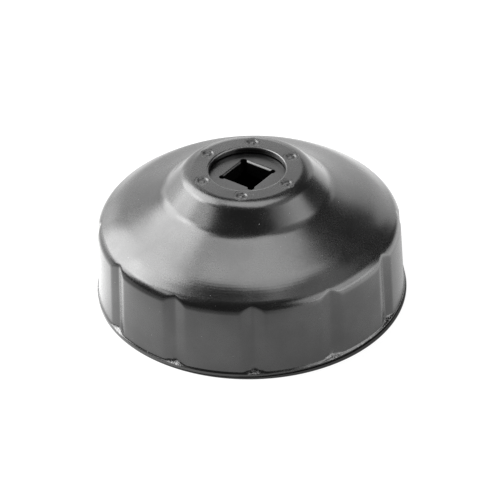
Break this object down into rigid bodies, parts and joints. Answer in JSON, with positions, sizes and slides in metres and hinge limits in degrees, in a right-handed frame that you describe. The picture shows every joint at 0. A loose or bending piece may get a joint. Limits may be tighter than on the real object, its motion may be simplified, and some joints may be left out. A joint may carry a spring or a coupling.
{
  "type": "oil filter wrench",
  "caption": "Cup-type oil filter wrench: a fluted sheet-steel cap with a flared rim, a raised crown and a square-drive plate spot-welded under it.",
  "frame": {"origin": "centre of the open rim's plane, on the cup's axis", "axes": "+Z along the axis from the open rim to the crown; -Y through the middle of one flute"},
  "size_m": [0.082, 0.082, 0.0366],
  "materials": {
    "cup_steel": "satin",
    "plate_steel": "satin",
    "weld_steel": "satin"
  },
  "bodies": {
    "root": {"cup_shell": "cup_steel", "drive_plate": "plate_steel", "spot_weld_1": "weld_steel", "spot_weld_2": "weld_steel", "spot_weld_3": "weld_steel", "spot_weld_4": "weld_steel", "spot_weld_5": "weld_steel", "spot_weld_6": "weld_steel"}
  },
  "joints": []
}
